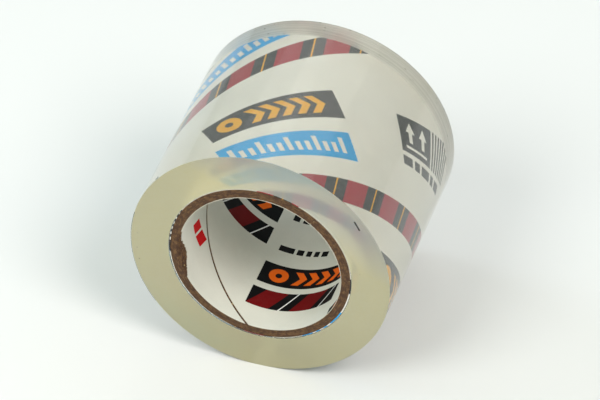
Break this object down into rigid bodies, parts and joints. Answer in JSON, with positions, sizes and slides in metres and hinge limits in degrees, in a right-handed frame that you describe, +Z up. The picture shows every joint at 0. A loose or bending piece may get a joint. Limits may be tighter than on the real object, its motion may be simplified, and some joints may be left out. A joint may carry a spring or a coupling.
{
  "type": "packaging tape roll",
  "caption": "Roll of clear packaging tape wound on a spiral paperboard core with a printed liner; the free end peels off the roll.",
  "frame": {"origin": "middle of the roll, on the core's axis", "axes": "+Y along the core's axis from the front face to the back face, +Z up, +X to the right seen from the front"},
  "size_m": [0.0611, 0.0508, 0.0611],
  "materials": {
    "liner_paper": "matt white paper",
    "kraft_board": "uncoated brown paperboard",
    "label_paper": "smooth white paper",
    "wound_tape": "clear glossy film, wound solid",
    "tape_film": "clear glossy film"
  },
  "bodies": {
    "roll": {"core_liner": "liner_paper", "kraft_ply_1": "kraft_board", "kraft_ply_2": "kraft_board", "kraft_ply_3": "kraft_board", "kraft_ply_4": "kraft_board", "core_label": "label_paper", "tape_winding": "wound_tape"},
    "free_end": {"tape_end": "tape_film"}
  },
  "joints": [
    {"name": "tape_peel", "type": "hinge", "parent": "roll", "child": "free_end", "pos_m": [-0.02952, 0, 0.00781], "axis": [0, 1, 0], "range_deg": [0, 120]}
  ]
}
